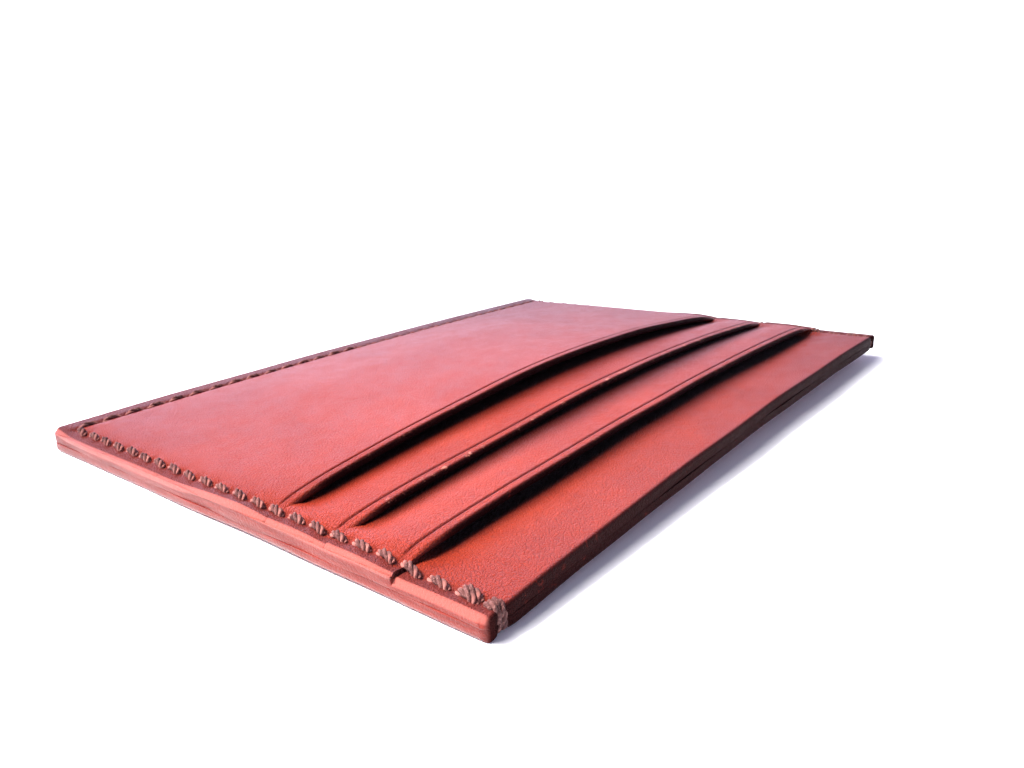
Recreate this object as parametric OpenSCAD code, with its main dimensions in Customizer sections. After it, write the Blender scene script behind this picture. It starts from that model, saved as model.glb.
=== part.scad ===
// Hand-sewn leather card holder: three stacked card slots in front and one centre pocket.
// It lies on its back, with +Z up, +Y towards the slot mouths and the origin under its middle.

/* [Outline] */
// Width across the card slots, in mm
body_w = 100; // [98:1:106]
// Height from the sewn bottom edge to the mouth of the centre pocket
body_h = 72; // [71:1:72]
// Plan radius of the outer corners
corner_r = 1; // [0.8:0.2:2]

/* [Leather] */
// Thickness of the back panel and of the front panel
panel_t = 1.2; // [1.1:0.1:1.4]
// Thickness of the front pocket
front_t = 1.0; // [1:0.1:1.2]
// Thickness of the two T-shaped pockets in the middle and at their ears
tee_t = 0.9; // [0.8:0.1:1]
// How much thinner a tongue is pared at its side edges
pared = 0.6; // [0.3:0.1:0.6]

/* [Card slots] */
// Strip of front panel that shows above the upper pocket
top_strip = 10; // [10:0.2:10.4]
// Distance from one slot mouth to the next
mouth_step = 8.6; // [8.6:0.2:9]
// Depth of each slot, from its mouth to the seam that closes it
slot_depth = 41.7; // [41.7:0.1:42]
// Width of the tongue of a T-shaped pocket, below its two ears
tongue_w = 88; // [87:0.5:88]
// Leather left below the seam of a tongue
tongue_hem = 2.6; // [2.6:0.1:3]
// How far the mouth of the centre pocket stands open at its middle
gap_centre = 0.1; // [0.1:0.1:0.8]
// How far the mouth of the upper pocket stands open at its middle
gap_upper = 0.7; // [0.5:0.1:1.4]
// How far the mouth of the middle pocket stands open at its middle
gap_middle = 0.3; // [0.2:0.1:1]
// How far the mouth of the front pocket stands open at its middle
gap_front = 0.9; // [0.5:0.1:1.4]

/* [Stitching] */
// Distance of the side seams from the side edges
side_inset = 1.8; // [1.8:0.1:2.6]
// Distance of the bottom seam from the bottom edge
bottom_inset = 3.1; // [3:0.1:3.4]
// Distance of the last stitch hole from the mouth edge
mouth_inset = 1.8; // [1.6:0.1:2]
// Stitches in each side seam
side_stitches = 22; // [20:1:23]
// Stitches in the bottom seam
bottom_stitches = 31; // [28:1:33]
// Stitches in the seam that closes a tongue
tongue_stitches = 27; // [24:1:29]
// Width of the thread where it lies on the leather
thread_w = 0.8; // [0.8:0.05:0.9]
// Height of the thread where it lies flat on the leather
thread_h = 0.5; // [0.4:0.05:0.6]

/* [Hidden] */
$fn = 32;

leather = [0.72, 0.27, 0.2];
thread_brown = [0.36, 0.22, 0.18];

half_w = body_w / 2;
upper_mouth = body_h - top_strip;
middle_mouth = upper_mouth - mouth_step;
front_mouth = middle_mouth - mouth_step;
upper_seam = upper_mouth - slot_depth;
middle_seam = middle_mouth - slot_depth;
upper_foot = upper_seam - tongue_hem;
middle_foot = middle_seam - tongue_hem;

seam_x = half_w - side_inset;
tongue_seam_inset = 2.5;    // distance of a tongue's seam ends from its side edges
tongue_seam_x = tongue_w / 2 - tongue_seam_inset;
hole_r = 0.28;              // the thread is pulled thin inside its holes
slant = 0.1;                // how far each stitch leans to one side of its seam
waist = thread_w - 0.06;    // width of a stitch between its two round ends
recess = 0.05;              // how far a sunk stitch stays below the leather
groove_h = thread_h - recess;
groove_w = thread_w + 2 * slant + 0.1;

front_top = 2 * panel_t;    // top of the front panel along the sewn margins
ramp = 2.7;                 // run over which a pocket climbs onto the tongues below it
ramp_out = seam_x - 0.75;   // where a pocket leaves the sewn margin
ramp_in = ramp_out - ramp;
pare_from = 20;             // distance from the middle at which the paring of a tongue starts
shoulder = 0.6;             // run over which a tongue gets its full thickness at its ears
clear = 0.06;               // slack between stacked tongues
closed_run = 3;             // run above its seam over which a slot stays closed
flat_to = upper_seam + closed_run;  // below this height the front panel lies flat
foot_gap = 0.4;             // run between the foot of a tongue and the ramp that climbs onto it
over = 1;                   // how far a cutter or a blank runs past the leather
tall = 12;                  // height that clears the whole holder
bury = 0.2;                 // how far a leg of thread runs into the stitches above it
shoulder_gap = 0.2;         // run between a mouth and the shoulder of the tongue above it

// Grid lines shared by every sheet, so that stacked sheets have matching facets.
// The mouths fall halfway between two lines, so that trimming leaves no slivers.
cell = mouth_step / 2;
ramp_x = [for (i = [0 : 4]) ramp_in + ramp * i / 4];
core_x = [for (i = [0 : 6]) i * ramp_in / 7.2];
right_x = concat([for (x = core_x) if (x > 0) x], ramp_x, [half_w + over]);
grid_x = concat([for (i = [len(right_x) - 1 : -1 : 0]) -right_x[i]], [0], right_x);
grid_y = concat(
    [-over],
    [for (i = [0 : 4]) middle_foot - foot_gap - ramp + ramp * i / 4],
    [middle_seam],
    [for (i = [0 : 4]) upper_foot - foot_gap - ramp + ramp * i / 4],
    [flat_to],
    [for (y = [middle_mouth - 4.5 * cell : cell : front_mouth]) if (y > flat_to + 1) y],
    shoulder_lines(front_mouth),
    [front_mouth + 1.5 * cell],
    shoulder_lines(middle_mouth),
    [middle_mouth + 1.5 * cell, upper_mouth + 0.5 * cell, upper_mouth + 1.5 * cell]
);

// Grid lines across the shoulder of a tongue, just above the mouth of the next pocket
function shoulder_lines(mouth) = [
    for (i = [0 : 2]) mouth + shoulder_gap + shoulder * i / 2
];

// Eased step from 0 at a to 1 at b
function ease(a, b, v) = let (u = max(0, min(1, (v - a) / (b - a)))) u * u * (3 - 2 * u);

// Arch across the width: 1 in the middle and 0 along the sewn margins
function arch(x) = pow(max(0, 1 - pow(x / ramp_out, 2)), 1.3);

// Opening of a slot at (x, y), which grows from its seam to its mouth
function opening(gap, seam, mouth, x, y) =
    gap * arch(x)
        * pow(max(0, min(1, (y - seam - closed_run) / (mouth - seam - closed_run))), 1.3);

// 1 over the tongue whose foot is at this height, 0 on the sewn margins and below it
function over_tongue(foot, x, y) =
    (1 - ease(ramp_in, ramp_out, abs(x))) * ease(foot - foot_gap - ramp, foot - foot_gap, y);

// Thickness of a T-shaped pocket: its tongue is pared at the sides, from above its seam to its ears
function tee_thick(seam, ear_foot, x, y) =
    let (across = ease(pare_from, tongue_w / 2, abs(x)) * (1 - ease(ramp_in, ramp_out, abs(x))))
    let (shoulder_from = ear_foot + shoulder_gap)
    let (to_ears = 1 - ease(shoulder_from, shoulder_from + shoulder, y))
    tee_t - pared * across * ease(seam + 1.5, seam + 5.5, y) * to_ears;
function upper_thick(x, y) = tee_thick(upper_seam, middle_mouth, x, y);
function middle_thick(x, y) = tee_thick(middle_seam, front_mouth, x, y);

// Underside of each sheet of leather, as a height above the table
function front_panel_z(x, y) =
    panel_t + gap_centre * arch(x) * pow(max(0, (y - flat_to) / (body_h - flat_to)), 1.2);
function upper_z(x, y) =
    front_panel_z(x, y) + panel_t + opening(gap_upper, upper_seam, upper_mouth, x, y);
function middle_z(x, y) =
    let (base = front_panel_z(x, y) + panel_t)
    base + over_tongue(upper_foot, x, y) * (upper_z(x, y) + upper_thick(x, y) + clear - base)
        + opening(gap_middle, middle_seam, middle_mouth, x, y);
function front_z(x, y) =
    let (base = front_panel_z(x, y) + panel_t)
    base + over_tongue(middle_foot, x, y) * (middle_z(x, y) + middle_thick(x, y) + clear - base)
        + opening(gap_front, bottom_inset, front_mouth, x, y);

// Stitch holes: down the left side, along the bottom and up the right side
function side_y(i) =
    body_h - mouth_inset - (body_h - mouth_inset - bottom_inset) * i / side_stitches;
left_holes = [for (i = [0 : side_stitches]) [-seam_x, side_y(i)]];
bottom_holes = [
    for (i = [1 : bottom_stitches - 1]) [-seam_x + 2 * seam_x * i / bottom_stitches, bottom_inset]
];
right_holes = [for (i = [side_stitches : -1 : 0]) [seam_x, side_y(i)]];
outer_holes = concat(left_holes, bottom_holes, right_holes);
// Where the thread wraps over the mouth edge, beyond the last hole on either side
wrap_y = body_h - thread_w / 2;
left_wrap = [-seam_x, wrap_y];
right_wrap = [seam_x, wrap_y];
function tongue_holes(seam) = [
    for (i = [0 : tongue_stitches])
        [-tongue_seam_x + 2 * tongue_seam_x * i / tongue_stitches, seam]
];

// Moves a piece drawn from the bottom edge so that the origin is under the middle
module centred() {
    translate([0, -body_h / 2, 0]) children();
}

// Sheet whose underside and thickness follow two functions, over the shared grid
module sheet(low, thick, y_from, y_to) {
    ys = concat([y_from], [for (y = grid_y) if (y > y_from + 0.2 && y < y_to - 0.2) y], [y_to]);
    nx = len(grid_x);
    ny = len(ys);
    bottom = [for (y = ys) for (x = grid_x) [x, y, low(x, y)]];
    top = [for (p = bottom) p + [0, 0, thick(p[0], p[1])]];
    n = nx * ny;
    quads = [for (j = [0 : ny - 2]) for (i = [0 : nx - 2]) j * nx + i];
    polyhedron(
        points = concat(bottom, top),
        faces = concat(
            [for (q = quads) [q, q + 1, q + nx]],
            [for (q = quads) [q + 1, q + nx + 1, q + nx]],
            [for (q = quads) [n + q, n + q + nx, n + q + 1]],
            [for (q = quads) [n + q + 1, n + q + nx, n + q + nx + 1]],
            [for (i = [0 : nx - 2]) [i, n + i, n + i + 1, i + 1]],
            [for (i = [n - nx : n - 2]) [i, i + 1, n + i + 1, n + i]],
            [for (j = [0 : ny - 2]) let (a = j * nx) [a, a + nx, n + a + nx, n + a]],
            [for (j = [0 : ny - 2]) let (a = j * nx + nx - 1) [a, n + a, n + a + nx, a + nx]]
        )
    );
}

// Plan outline between two heights, with round corners at the bottom or the mouth of the holder
module outline(y_from, y_to) {
    round_low = y_from == 0 ? corner_r : 0;
    round_high = y_to == body_h ? corner_r : 0;
    translate([-half_w, y_from + round_low])
        square([body_w, y_to - y_from - round_low - round_high]);
    if (round_low > 0) corner_band(y_from, y_from + round_low);
    if (round_high > 0) corner_band(y_to, y_to - round_high);
}

// Strip between two round corners, from the edge to the centres of the corners
module corner_band(edge_y, centre_y) {
    translate([-half_w + corner_r, min(edge_y, centre_y)])
        square([body_w - 2 * corner_r, abs(edge_y - centre_y)]);
    for (side = [-1, 1]) translate([side * (half_w - corner_r), centre_y]) circle(corner_r);
}

// T-shaped outline: two ears just below the mouth and a narrower tongue down to the foot
module tee_outline(foot, mouth) {
    outline(mouth - mouth_step, mouth);
    translate([-tongue_w / 2, foot]) square([tongue_w, mouth - foot]);
}

// Upright cutters for a row of stitch holes
module drill(holes) {
    for (p = holes) translate([p[0], p[1], -over]) cylinder(r = hole_r, h = tall);
}

// Notches in the mouth edge, where the thread wraps over it
module mouth_notches() {
    for (p = [left_wrap, right_wrap]) translate([p[0] + slant, p[1], -over]) {
        cylinder(r = hole_r, h = tall);
        translate([-hole_r, 0, 0]) cube([2 * hole_r, thread_w, tall]);
    }
}

// Channel along the outer seam, open towards the table
module outer_groove() {
    for (side = [-1, 1])
        translate([side * seam_x - groove_w / 2, bottom_inset - groove_w / 2, -over])
            cube([groove_w, body_h, over + groove_h]);
    translate([-seam_x, bottom_inset - groove_w / 2, -over])
        cube([2 * seam_x, groove_w, over + groove_h]);
}

// Channel along the seam of a tongue, between two heights
module tongue_groove(seam, z_from, z_to) {
    translate([-tongue_seam_x - groove_w / 2, seam - groove_w / 2, z_from])
        cube([2 * tongue_seam_x + groove_w, groove_w, z_to - z_from]);
}

// Plan of one slanted stitch between two holes
module stitch_plan(p, q) {
    run = q - p;
    along = run / norm(run);
    lean = slant * [-along[1], along[0]];
    a = p + lean;
    b = q - lean;
    turn = atan2(b[1] - a[1], b[0] - a[0]);
    translate(a) circle(d = thread_w);
    translate(b) circle(d = thread_w);
    translate(a) rotate(turn) translate([0, -waist / 2]) square([norm(b - a), waist]);
}

// A flat run of stitches through a row of holes
module stitch_run(holes, z, h) {
    translate([0, 0, z]) linear_extrude(h)
        for (i = [0 : len(holes) - 2]) stitch_plan(holes[i], holes[i + 1]);
}

// Thread standing in a row of holes
module legs(holes, z_from, z_to) {
    for (p = holes) translate([p[0], p[1], z_from]) cylinder(r = hole_r, h = z_to - z_from);
}

// The part of its children between two heights of the holder
module band(y_from, y_to) {
    intersection() {
        children();
        translate([-half_w, y_from, 0]) cube([body_w, y_to - y_from, tall]);
    }
}

module back_panel() {
    color(leather) centred() difference() {
        linear_extrude(panel_t) outline(0, body_h);
        drill(outer_holes);
        mouth_notches();
        outer_groove();
    }
}

module front_panel() {
    color(leather) centred() difference() {
        intersection() {
            sheet(
                function (x, y) front_panel_z(x, y), function (x, y) panel_t,
                -over, body_h + over
            );
            linear_extrude(tall) outline(0, body_h);
        }
        drill(concat(outer_holes, tongue_holes(upper_seam), tongue_holes(middle_seam)));
        mouth_notches();
        for (seam = [upper_seam, middle_seam])
            tongue_groove(seam, panel_t - over, panel_t + groove_h);
    }
}

module upper_pocket() {
    color(leather) centred() difference() {
        intersection() {
            sheet(
                function (x, y) upper_z(x, y), function (x, y) upper_thick(x, y),
                upper_foot - over, upper_mouth + over
            );
            linear_extrude(tall) tee_outline(upper_foot, upper_mouth);
        }
        drill(concat(outer_holes, tongue_holes(upper_seam)));
        tongue_groove(upper_seam, front_top + tee_t - groove_h, front_top + tee_t + over);
    }
}

module middle_pocket() {
    color(leather) centred() difference() {
        intersection() {
            sheet(
                function (x, y) middle_z(x, y), function (x, y) middle_thick(x, y),
                middle_foot - over, middle_mouth + over
            );
            linear_extrude(tall) tee_outline(middle_foot, middle_mouth);
        }
        drill(concat(outer_holes, tongue_holes(middle_seam)));
        tongue_groove(middle_seam, front_top + tee_t - groove_h, front_top + tee_t + over);
    }
}

module front_pocket() {
    color(leather) centred() difference() {
        intersection() {
            sheet(
                function (x, y) front_z(x, y), function (x, y) front_t,
                -over, front_mouth + over
            );
            linear_extrude(tall) outline(0, front_mouth);
        }
        drill(outer_holes);
    }
}

// Thread that closes a tongue: sunk runs above and below, joined through the holes
module tongue_thread(seam) {
    holes = tongue_holes(seam);
    low = panel_t + recess;
    high = front_top + tee_t - groove_h;
    color(thread_brown) centred() {
        stitch_run(holes, low, groove_h - recess);
        legs(holes, low, high + bury);
        stitch_run(holes, high, groove_h - recess);
    }
}

module upper_pocket_thread() {
    tongue_thread(upper_seam);
}

module middle_pocket_thread() {
    tongue_thread(middle_seam);
}

// One thread sews both sides and the bottom, and wraps over the mouth edge at both ends
module outer_seam_thread() {
    holes = concat([left_wrap], outer_holes, [right_wrap]);
    lean = [slant, 0];
    on_pocket = front_top + front_t;
    on_ear = front_top + tee_t;
    lap = 0.4;
    color(thread_brown) centred() {
        stitch_run(holes, recess, groove_h - recess);
        band(0, front_mouth + lap) stitch_run(holes, on_pocket, thread_h);
        band(front_mouth, upper_mouth + lap) stitch_run(holes, on_ear, thread_h);
        band(upper_mouth, body_h) stitch_run(holes, front_top, thread_h);
        band(upper_mouth, upper_mouth + lap)
            stitch_run(holes, front_top, on_ear + thread_h - front_top);
        legs([for (p = outer_holes) if (p[1] < front_mouth) p], recess, on_pocket + bury);
        legs([for (p = outer_holes) if (p[1] > front_mouth && p[1] < upper_mouth) p],
            recess, on_ear + bury);
        legs([for (p = outer_holes) if (p[1] > upper_mouth) p], recess, front_top + bury);
        legs([left_wrap + lean, right_wrap + lean], recess, front_top + bury);
    }
}

back_panel();
front_panel();
upper_pocket();
middle_pocket();
front_pocket();
upper_pocket_thread();
middle_pocket_thread();
outer_seam_thread();
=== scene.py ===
"""Hand-sewn leather card holder, lying on its back on a pale floor.

Every leather panel is one closed sheet over its own grid of lines, which lie close together where
the shape turns: at the burnished rim, the slot mouths, the creases and each stitch hole. Threads are
twisted ropes that follow the sewn surface. Lengths are in millimetres, with x across the slots,
y up from the sewn bottom edge and z out of the front, until place() puts points into the frame.
"""

import math

import bpy
import numpy as np
from mathutils import Matrix, Vector


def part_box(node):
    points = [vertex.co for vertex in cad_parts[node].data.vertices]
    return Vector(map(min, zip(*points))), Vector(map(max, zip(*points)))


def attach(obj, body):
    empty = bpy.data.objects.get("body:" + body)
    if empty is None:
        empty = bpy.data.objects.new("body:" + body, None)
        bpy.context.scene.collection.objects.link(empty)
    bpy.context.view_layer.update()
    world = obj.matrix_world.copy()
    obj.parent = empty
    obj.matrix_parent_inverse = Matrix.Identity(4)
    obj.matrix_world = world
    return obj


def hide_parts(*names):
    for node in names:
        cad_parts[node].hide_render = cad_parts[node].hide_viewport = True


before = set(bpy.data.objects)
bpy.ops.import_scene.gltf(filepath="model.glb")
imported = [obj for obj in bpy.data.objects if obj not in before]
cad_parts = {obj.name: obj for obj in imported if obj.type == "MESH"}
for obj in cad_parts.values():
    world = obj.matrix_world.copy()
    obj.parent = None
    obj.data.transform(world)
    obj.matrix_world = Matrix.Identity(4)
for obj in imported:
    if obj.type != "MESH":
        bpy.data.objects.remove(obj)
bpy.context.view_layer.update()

MM = 0.001

# Sizes that the frame gives
BACK_LOW, BACK_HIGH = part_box("back_panel")
HALF_W = BACK_HIGH.x / MM
HEIGHT = (BACK_HIGH.y - BACK_LOW.y) / MM
PANEL = BACK_HIGH.z / MM


def from_bottom(y):
    """Height above the sewn bottom edge, in mm, of a y in the frame."""
    return (y - BACK_LOW.y) / MM


FRONT_MOUTH = from_bottom(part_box("front_pocket")[1].y)
MIDDLE_FOOT, MIDDLE_MOUTH = (from_bottom(p.y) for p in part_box("middle_pocket"))
UPPER_FOOT, UPPER_MOUTH = (from_bottom(p.y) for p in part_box("upper_pocket"))
FRONT_TOP = 2 * PANEL

# Leather: thickness of the T-shaped pockets and of the front pocket, half the width of a tongue,
# radius of the holder's corners, and slack between stacked layers
TEE = 0.9
FRONT = 1.0
TONGUE_HALF = 44.0
CORNER = 1.0
CLEAR = 0.05

# Seams: distance of the outer seam from the sides, the bottom and the mouth edge, counts of stitches,
# half the length of a tongue's seam and its height above the tongue's foot, and the lean of a stitch
SIDE_INSET = 1.8
BOTTOM_INSET = 3.1
MOUTH_INSET = 1.8
SIDE_STITCHES = 22
BOTTOM_STITCHES = 31
TONGUE_STITCHES = 27
TONGUE_SEAM_HALF = TONGUE_HALF - 2.5
HEM = 2.6
SEAM_X = HALF_W - SIDE_INSET
LEAN = 0.26

# How far each slot's mouth stands open, how far its crest lies from the middle, and how it curves
GAP_CENTRE, GAP_UPPER, GAP_MIDDLE, GAP_FRONT = 0.08, 0.67, 0.24, 0.89
SHIFT_UPPER, SHIFT_MIDDLE, SHIFT_FRONT = 11.2, 2.4, 2.1
ROUND_CENTRE, ROUND_UPPER, ROUND_MIDDLE, ROUND_FRONT = 1.3, 0.72, 1.43, 0.82
FREE_HALF = SEAM_X - 0.75

# A card slot opens from this far above its seam, and the centre slot from this height
OPEN_ABOVE_SEAM, OPEN_POWER = 3, 1.3
CENTRE_OPEN_FROM, CENTRE_OPEN_POWER = 23, 1.2
PAST_MOUTH = 1.03

# A tongue gets thinner from near its middle to its sides, and towards its foot
PARE_START, PARE_POWER, PARE_SHIFT = 1.9, 1.58, 1.75
PARED_FOOT = 4.5
UPPER_RAMP, MIDDLE_RAMP = UPPER_FOOT - 6.5, BOTTOM_INSET + 0.9

# The middle mouth dips at one place
DIP, DIP_X, DIP_WIDTH, DIP_REACH = 0.15, 23, 8, 6

# The whole holder is a little bowed across its width, one mouth corner lifts off the floor, and
# the mouth edge was cut a little out of square
BOW_BOTTOM, BOW_MOUTH, LIFT = 0.43, 0.77, 1.5
SKEW, SKEW_BEND = 0.32, 0.18


# ---------------------------------------------------------------- shape functions


def ease(a, b, v):
    """0 at a, 1 at b, with a smooth step between."""
    u = np.clip((v - a) / (b - a), 0, 1)
    return u * u * (3 - 2 * u)


def bell(v, width):
    """1 at v = 0, falling away smoothly on both sides."""
    return np.exp(-((v / width) ** 2))


WAVE_COUNT = 5


def waves(s, seed, wavelength):
    """Gentle irregular waves of about unit height along s."""
    rng = np.random.default_rng(seed)
    total = np.zeros_like(np.asarray(s, float))
    for _ in range(WAVE_COUNT):
        length = wavelength * rng.uniform(0.5, 1.7)
        total += rng.uniform(0.5, 1) * np.sin(s * 2 * math.pi / length + rng.uniform(0, 2 * math.pi))
    return total / math.sqrt(WAVE_COUNT)


def warp(x, y):
    """How far the bow and the lifted corner raise the holder off the floor."""
    across, up = (x + HALF_W) / (2 * HALF_W), y / HEIGHT
    bow = (BOW_BOTTOM * (1 - up) + BOW_MOUTH * up) * (1 - (x / HALF_W) ** 2)
    return np.maximum(bow, 0) + LIFT * (1 - across) * np.clip(up, 0, 1.02)


def place(points):
    """Points of the flat holder, in mm, to their places in the frame, in metres."""
    p = np.array(points, float)
    z = p[:, 2] + warp(p[:, 0], p[:, 1])
    across = p[:, 0] / HALF_W
    y = p[:, 1] + (SKEW * across + SKEW_BEND * across ** 2) * ease(UPPER_MOUTH + 1, HEIGHT, p[:, 1])
    return np.stack([p[:, 0] * MM, y * MM + BACK_LOW.y, z * MM], 1)


def arch(x, shift=0.0, power=ROUND_CENTRE):
    """1 at the crest of a slot's mouth and 0 at the sewn sides."""
    crest = x + shift * np.clip(1 - (x / FREE_HALF) ** 2, 0, 1)
    return np.clip(1 - (crest / FREE_HALF) ** 2, 0, 1) ** power


def rising(start, mouth, y, power):
    """How far a slot has opened at y: 0 at its start and 1 at its mouth."""
    return np.clip((y - start) / (mouth - start), 0, PAST_MOUTH) ** power


def slot_gap(gap, shift, power, seam, mouth, x, y):
    """Height of the room inside a card slot."""
    return gap * arch(x, shift, power) * rising(seam + OPEN_ABOVE_SEAM, mouth, y, OPEN_POWER)


def tongue(foot, ramp_low, x, y):
    """Thickness of a tongue under the sheets that cover it: pared towards its sides and its foot."""
    out = abs(x + PARE_SHIFT)
    side = 1 - np.clip((out - PARE_START) / (FREE_HALF - PARE_START), 0, 1) ** PARE_POWER
    return TEE * side * ease(ramp_low, foot + PARED_FOOT, y)


def upper_tongue(x, y):
    return tongue(UPPER_FOOT, UPPER_RAMP, x, y)


def middle_tongue(x, y):
    return tongue(MIDDLE_FOOT, MIDDLE_RAMP, x, y)


def front_panel_low(x, y):
    return PANEL + GAP_CENTRE * arch(x) * rising(CENTRE_OPEN_FROM, HEIGHT, y, CENTRE_OPEN_POWER)


def upper_low(x, y):
    gap = slot_gap(GAP_UPPER, SHIFT_UPPER, ROUND_UPPER, UPPER_FOOT + HEM, UPPER_MOUTH, x, y)
    return front_panel_low(x, y) + PANEL + gap


def middle_low(x, y):
    gap = slot_gap(GAP_MIDDLE, SHIFT_MIDDLE, ROUND_MIDDLE, MIDDLE_FOOT + HEM, MIDDLE_MOUTH, x, y)
    dip = DIP * bell(x - DIP_X, DIP_WIDTH) * ease(MIDDLE_MOUTH - DIP_REACH, MIDDLE_MOUTH, y)
    return upper_low(x, y) + upper_tongue(x, y) + CLEAR * arch(x) - dip + gap


def front_low(x, y):
    gap = slot_gap(GAP_FRONT, SHIFT_FRONT, ROUND_FRONT, BOTTOM_INSET, FRONT_MOUTH, x, y)
    return middle_low(x, y) + middle_tongue(x, y) + CLEAR * arch(x) + gap


# ---------------------------------------------------------------- seams and holes


def hole_row(first, last, stitches):
    """Evenly spaced points from first to last."""
    steps = np.linspace(0, 1, stitches + 1)[:, None]
    return np.array(first) * (1 - steps) + np.array(last) * steps


TOP_HOLE = HEIGHT - MOUTH_INSET
LEFT_HOLES = hole_row((-SEAM_X, TOP_HOLE), (-SEAM_X, BOTTOM_INSET), SIDE_STITCHES)
BOTTOM_HOLES = hole_row((-SEAM_X, BOTTOM_INSET), (SEAM_X, BOTTOM_INSET), BOTTOM_STITCHES)
RIGHT_HOLES = hole_row((SEAM_X, BOTTOM_INSET), (SEAM_X, TOP_HOLE), SIDE_STITCHES)
OUTER_HOLES = np.concatenate([LEFT_HOLES, BOTTOM_HOLES[1:-1], RIGHT_HOLES])


def to_outline(x, y):
    """Distance to the sewn outline: both sides and the bottom edge."""
    side, low = HALF_W - abs(x), y
    inner = np.minimum(side, low)
    a, b = np.clip(CORNER - side, 0, None), np.clip(CORNER - low, 0, None)
    return np.where((a > 0) & (b > 0), CORNER - np.hypot(a, b), inner)


def to_any_edge(x, y):
    """Distance to the nearest edge, the mouth edge included."""
    return np.minimum(to_outline(x, y), HEIGHT - y)


def to_seam(x, y):
    """Distance outwards from the seam line: positive on the margin, negative inside."""
    side, low = abs(x) - SEAM_X, BOTTOM_INSET - y
    return np.maximum(side, low)


def to_hole(x, y):
    """Distance to the nearest hole of the outer seam."""
    nearest = np.full(np.shape(x), 1e3)
    for hx, hy in OUTER_HOLES:
        nearest = np.minimum(nearest, np.hypot(x - hx, y - hy))
    return nearest


# The side margins were pressed thinner beside the lower half of the front, swell above that, and
# drop again at the ears
SLUMP, SLUMP_START, SLUMP_END = 0.52, (0, 5), (27, 37)
SWELL, SWELL_Y, SWELL_WIDTH = 0.13, 40.5, 3.5
EAR_DROP, EAR_DROP_AT = 0.08, (43, 45)
# The seam pulls the leather down beside it, and the whole margin outside it is lower
PULL, PULL_WIDTH = 0.2, 2.5
MARGIN_DROP, MARGIN_START, MARGIN_FULL = 0.34, -2.6, 0.3
# The single layer above the highest mouth yields less
TOP_STRIP_LOSS = 0.75
# The groove along the stitches and the dent at each hole
GROOVE, GROOVE_WIDTH = 0.08, 0.55
DENT, DENT_WIDTH = 0.2, 0.6


def slump(x, y):
    """Extra drop of the side margins."""
    out = ease(-0.2, 1.5, abs(x) - SEAM_X)
    pressed = SLUMP * (1 - ease(*SLUMP_END, y)) * ease(*SLUMP_START, y)
    return out * (pressed - SWELL * bell(y - SWELL_Y, SWELL_WIDTH) + EAR_DROP * ease(*EAR_DROP_AT, y))


def pulled(x, y):
    """How far the seam and its margin lie below the plain height of the leather."""
    past = to_seam(x, y)
    thin = 1 - TOP_STRIP_LOSS * ease(UPPER_MOUTH - 0.2, UPPER_MOUTH + 0.2, y)
    pull = PULL * np.exp(-abs(past) / PULL_WIDTH)
    return (pull + MARGIN_DROP * ease(MARGIN_START, MARGIN_FULL, past) + slump(x, y)) * thin


def stack_top(x, y):
    """Height of the top of the sewn stack."""
    layers = np.where(y > UPPER_MOUTH, 0, np.where(y > FRONT_MOUTH, TEE, FRONT))
    return FRONT_TOP + layers - pulled(x, y)


def sewn(x, y):
    """Drop of the sewn surface: pulled down at the seam, with a dent at each stitch hole."""
    groove = GROOVE * bell(to_seam(x, y), GROOVE_WIDTH)
    return pulled(x, y) + groove + DENT * bell(to_hole(x, y), DENT_WIDTH)


def rounded(distance, width, height):
    """Drop of a rounded edge at this distance from it."""
    u = np.clip(1 - distance / width, 0, 1)
    return height * (1 - np.sqrt(np.clip(1 - u * u, 0, 1)))


def bevel(distance, width, height):
    """Drop of a flat bevel with a slightly softened shoulder."""
    near = np.clip(1 - distance / width, 0, 1)
    return height * (BEVEL_SOFT * ease(0, 1, near) + (1 - BEVEL_SOFT) * near)


# Edges: the soft share of a bevel, then width and height of the burnished rim (with the height that
# the front panel's has), of an edge inside the stack and of the back's lower edge
BEVEL_SOFT = 0.35
RIM_WIDTH, RIM_HEIGHT, PANEL_RIM_HEIGHT = 0.4, 0.5, 0.55
SHARP_EDGE = (0.04, 0.02)
BACK_EDGE = (0.5, 0.42)
# Mouths: their rounding where they are free and at the ears, the crease behind them and the bead
# between, and how the lip sinks at its ends
MOUTH_ROUND, EAR_ROUND = 0.4, 0.12
CREASE_AT, CREASE_DEPTH, CREASE_WIDTH = 1.25, 0.13, 0.13
BEAD_DROP = 0.05
LIP_END, LIP_END_WIDTH, LIP_END_REACH = 0.25, 3.5, 5


def clear_of_ears(x):
    """1 where a mouth edge is free, 0 where it butts against an ear."""
    return 1 - ease(SEAM_X - 1.2, SEAM_X + 0.2, abs(x))


def between_seams(x):
    """1 between the side seams, 0 on them."""
    return 1 - ease(SEAM_X - 3.5, SEAM_X - 0.6, abs(x))


def mouth_top(x, inset):
    """Drop of the top face near a mouth: its rounded edge, the crease behind it, a soft bead between."""
    radius = EAR_ROUND + (MOUTH_ROUND - EAR_ROUND) * clear_of_ears(x)
    free = 1 - ease(SEAM_X - 1.4, SEAM_X - 0.5, abs(x))
    crease = CREASE_DEPTH * bell(inset - CREASE_AT, CREASE_WIDTH) * free
    bead = BEAD_DROP * ease(CREASE_AT - 0.2, 0.2, inset) * free
    return rounded(inset, radius, radius) + crease + bead


def mouth_low(x, inset):
    """Rise of the under face near a mouth."""
    return rounded(inset, MOUTH_ROUND, MOUTH_ROUND) * clear_of_ears(x)


def lip_end(x, inset):
    """Drop of a mouth towards both its ends."""
    return LIP_END * bell(abs(x) - SEAM_X, LIP_END_WIDTH) * ease(LIP_END_REACH, 0, inset)


# ---------------------------------------------------------------- grid lines


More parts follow.
